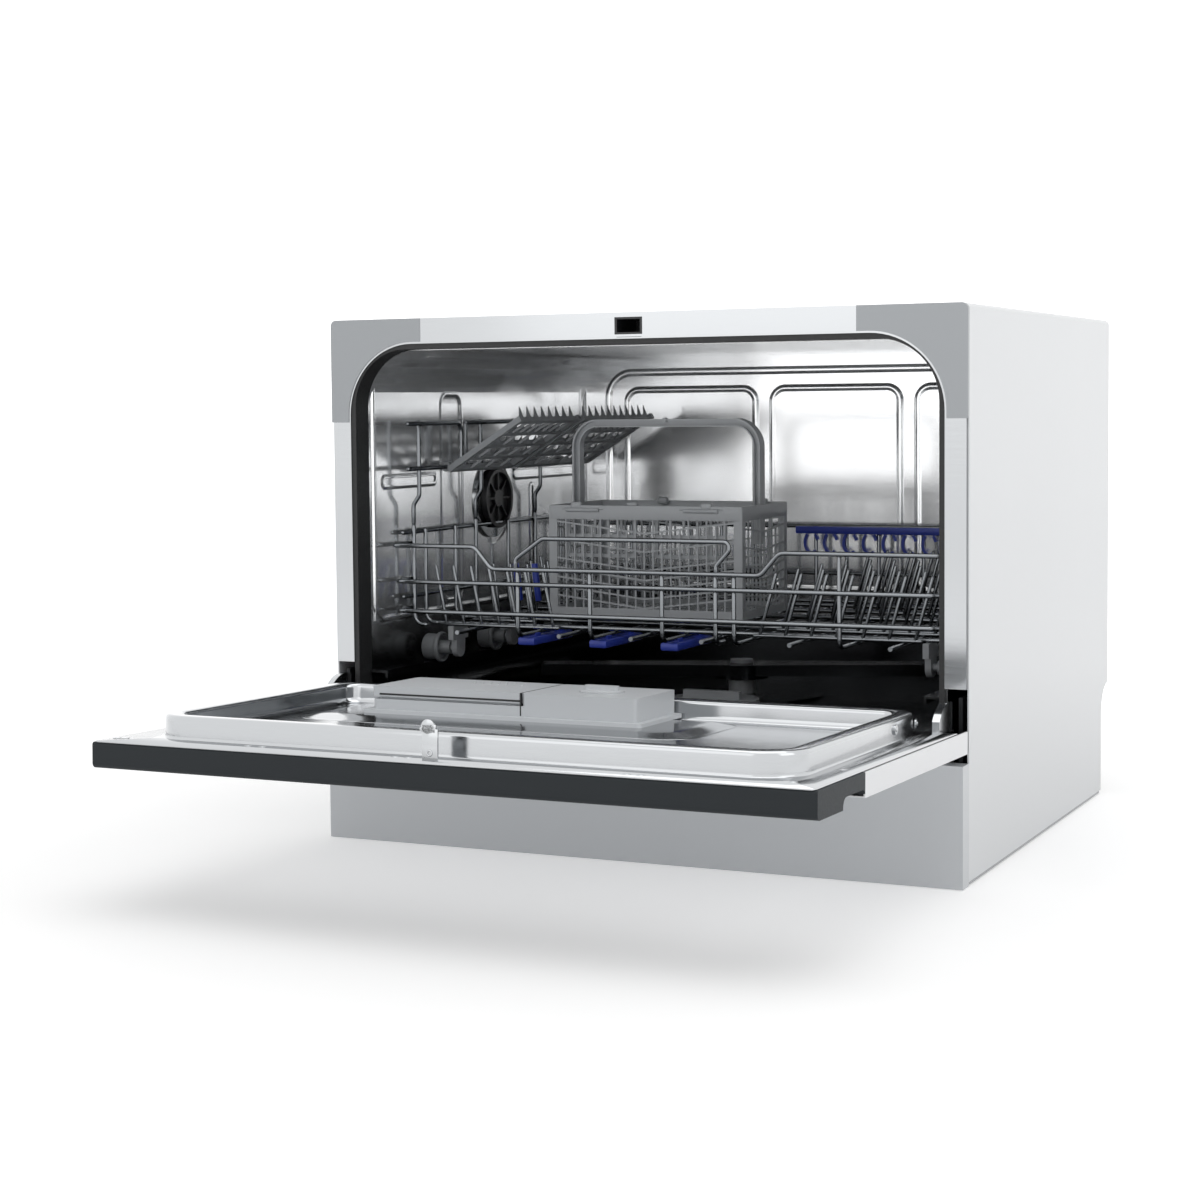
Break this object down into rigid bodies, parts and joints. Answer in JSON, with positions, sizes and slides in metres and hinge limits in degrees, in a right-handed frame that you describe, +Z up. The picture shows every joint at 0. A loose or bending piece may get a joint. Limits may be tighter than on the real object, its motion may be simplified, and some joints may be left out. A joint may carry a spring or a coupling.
{
  "type": "countertop dishwasher",
  "caption": "Countertop dishwasher with a drop-down door, a wheeled pull-out wire basket, folding cup shelves, a cutlery basket and a detergent dispenser",
  "frame": {"origin": "on the standing surface, under the middle of the front frame plane", "axes": "X runs to the right as seen from the front, Y runs from the door to the rear panel, Z is up"},
  "size_m": [0.55, 0.82, 0.438],
  "materials": {
    "white_paint": "semi-gloss baked white paint",
    "zinc_sheet": "galvanised sheet",
    "dark_plastic": "moulded, matt",
    "black_rubber": "soft rubber",
    "polished_steel": "polished stainless sheet",
    "trim_paint": "satin grey paint",
    "satin_steel": "satin stainless sheet",
    "bare_steel": "bright plated steel",
    "black_plastic": "moulded black",
    "grey_plastic": "moulded mid grey, fine grain",
    "dispenser_plastic": "moulded grey, satin",
    "ivory_plastic": "natural moulded",
    "fascia_plastic": "dark grey, semi-gloss",
    "board_green": "coated circuit board",
    "button_plastic": "grey, semi-gloss",
    "basket_wire": "nylon-coated wire, satin grey",
    "blue_plastic": "moulded dark blue"
  },
  "bodies": {
    "cabinet": {"outer_casing": "white_paint", "back_panel": "zinc_sheet", "base_tray": "zinc_sheet", "feet": "black_rubber", "plinth_panel": "white_paint", "front_frame": "polished_steel", "top_strip": "polished_steel", "corner_trims": "trim_paint", "tub": "satin_steel", "wheel_rails": "satin_steel", "door_seals": "black_rubber", "door_lock": "black_plastic", "vent_cap": "bare_steel", "sump": "grey_plastic", "filter_plate": "satin_steel", "wash_pump": "dark_plastic", "drain_pump": "dark_plastic", "inlet_valve": "ivory_plastic", "drain_port": "black_plastic", "cord_gland": "black_plastic", "hinge_brackets": "bare_steel"},
    "door": {"door_panel": "white_paint", "control_fascia": "fascia_plastic", "door_liner": "satin_steel", "door_arms": "bare_steel", "striker": "bare_steel", "dispenser_body": "dispenser_plastic", "control_board": "board_green", "display_window": "black_plastic"},
    "dispenser_cover": {"dispenser_lid": "dispenser_plastic"},
    "rinse_plug": {"rinse_cap": "dispenser_plastic"},
    "key_power": {"button_power": "button_plastic"},
    "key_program": {"button_program": "button_plastic"},
    "key_delay": {"button_delay": "button_plastic"},
    "key_start": {"button_start": "button_plastic"},
    "basket": {"basket_front_grid": "basket_wire", "basket_floor": "basket_wire", "basket_left": "basket_wire", "basket_right": "basket_wire", "basket_rear": "basket_wire", "tines_left": "basket_wire", "tines_right": "basket_wire", "shelf_frame": "basket_wire", "clip_strip": "blue_plastic", "floor_guards": "blue_plastic", "wheel_brackets": "grey_plastic"},
    "shelf_front": {"cup_shelf_front": "grey_plastic"},
    "shelf_rear": {"cup_shelf_rear": "grey_plastic"},
    "cutlery": {"cutlery_basket": "grey_plastic"},
    "cutlery_cover_left": {"cutlery_lid_left": "grey_plastic"},
    "cutlery_cover_right": {"cutlery_lid_right": "grey_plastic"},
    "arm": {"spray_arm": "satin_steel"},
    "filter": {"filter_cylinder": "grey_plastic"},
    "roller_left_front": {"wheel_left_front": "grey_plastic"},
    "roller_left_middle": {"wheel_left_middle": "grey_plastic"},
    "roller_left_rear": {"wheel_left_rear": "grey_plastic"},
    "roller_right_front": {"wheel_right_front": "grey_plastic"},
    "roller_right_middle": {"wheel_right_middle": "grey_plastic"},
    "roller_right_rear": {"wheel_right_rear": "grey_plastic"}
  },
  "joints": [
    {"name": "door_hinge", "type": "hinge", "parent": "cabinet", "child": "door", "pos_m": [0, -0.012, 0.108], "axis": [-1, 0, 0], "range_deg": [0, 88.6]},
    {"name": "basket_slide", "type": "slide", "parent": "cabinet", "child": "basket", "axis": [0, 1, 0], "range_m": [-0.246, 0]},
    {"name": "cutlery_lift", "type": "slide", "parent": "basket", "child": "cutlery", "axis": [0, 0, -1], "range_m": [-0.05, 0]},
    {"name": "cutlery_lid_left_hinge", "type": "hinge", "parent": "cutlery", "child": "cutlery_cover_left", "pos_m": [-0.0855, 0.1328, 0.274], "axis": [1, 0, 0], "range_deg": [0, 90]},
    {"name": "cutlery_lid_right_hinge", "type": "hinge", "parent": "cutlery", "child": "cutlery_cover_right", "pos_m": [-0.0025, 0.1328, 0.274], "axis": [1, 0, 0], "range_deg": [0, 90]},
    {"name": "shelf_front_fold", "type": "hinge", "parent": "basket", "child": "shelf_front", "pos_m": [-0.2345, 0.1825, 0.311], "axis": [0, -1, 0], "range_deg": [0, 18]},
    {"name": "shelf_rear_fold", "type": "hinge", "parent": "basket", "child": "shelf_rear", "pos_m": [-0.2345, 0.314, 0.311], "axis": [0, -1, 0], "range_deg": [0, 18]},
    {"name": "dispenser_lid_slide", "type": "slide", "parent": "door", "child": "dispenser_cover", "axis": [-1, 0, 0], "range_m": [0, 0.045]},
    {"name": "rinse_cap_turn", "type": "hinge", "parent": "door", "child": "rinse_plug", "pos_m": [0.014, -0.08724, 0.13985], "axis": [0, 0.0244, 0.9997], "range_deg": [0, 90]},
    {"name": "button_power_press", "type": "slide", "parent": "door", "child": "key_power", "axis": [0, 0.0244, 0.9997], "range_m": [0, 0.0015], "stiffness_N_per_m": 250},
    {"name": "button_program_press", "type": "slide", "parent": "door", "child": "key_program", "axis": [0, 0.0244, 0.9997], "range_m": [0, 0.0015], "stiffness_N_per_m": 250},
    {"name": "button_delay_press", "type": "slide", "parent": "door", "child": "key_delay", "axis": [0, 0.0244, 0.9997], "range_m": [0, 0.0015], "stiffness_N_per_m": 250},
    {"name": "button_start_press", "type": "slide", "parent": "door", "child": "key_start", "axis": [0, 0.0244, 0.9997], "range_m": [0, 0.0015], "stiffness_N_per_m": 250},
    {"name": "spray_arm_spin", "type": "hinge", "parent": "cabinet", "child": "arm", "pos_m": [0, 0.245, 0.126], "axis": [0, 0, 1], "continuous": true},
    {"name": "filter_turn", "type": "hinge", "parent": "cabinet", "child": "filter", "pos_m": [0, 0.173, 0.09], "axis": [0, 0, 1], "range_deg": [0, 75]},
    {"name": "wheel_left_front_spin", "type": "hinge", "parent": "basket", "child": "roller_left_front", "pos_m": [-0.2365, 0.108, 0.152], "axis": [1, 0, 0], "continuous": true},
    {"name": "wheel_left_middle_spin", "type": "hinge", "parent": "basket", "child": "roller_left_middle", "pos_m": [-0.2365, 0.214, 0.152], "axis": [1, 0, 0], "continuous": true},
    {"name": "wheel_left_rear_spin", "type": "hinge", "parent": "basket", "child": "roller_left_rear", "pos_m": [-0.2365, 0.356, 0.152], "axis": [1, 0, 0], "continuous": true},
    {"name": "wheel_right_front_spin", "type": "hinge", "parent": "basket", "child": "roller_right_front", "pos_m": [0.2365, 0.108, 0.152], "axis": [1, 0, 0], "continuous": true},
    {"name": "wheel_right_middle_spin", "type": "hinge", "parent": "basket", "child": "roller_right_middle", "pos_m": [0.2365, 0.214, 0.152], "axis": [1, 0, 0], "continuous": true},
    {"name": "wheel_right_rear_spin", "type": "hinge", "parent": "basket", "child": "roller_right_rear", "pos_m": [0.2365, 0.356, 0.152], "axis": [1, 0, 0], "continuous": true}
  ]
}
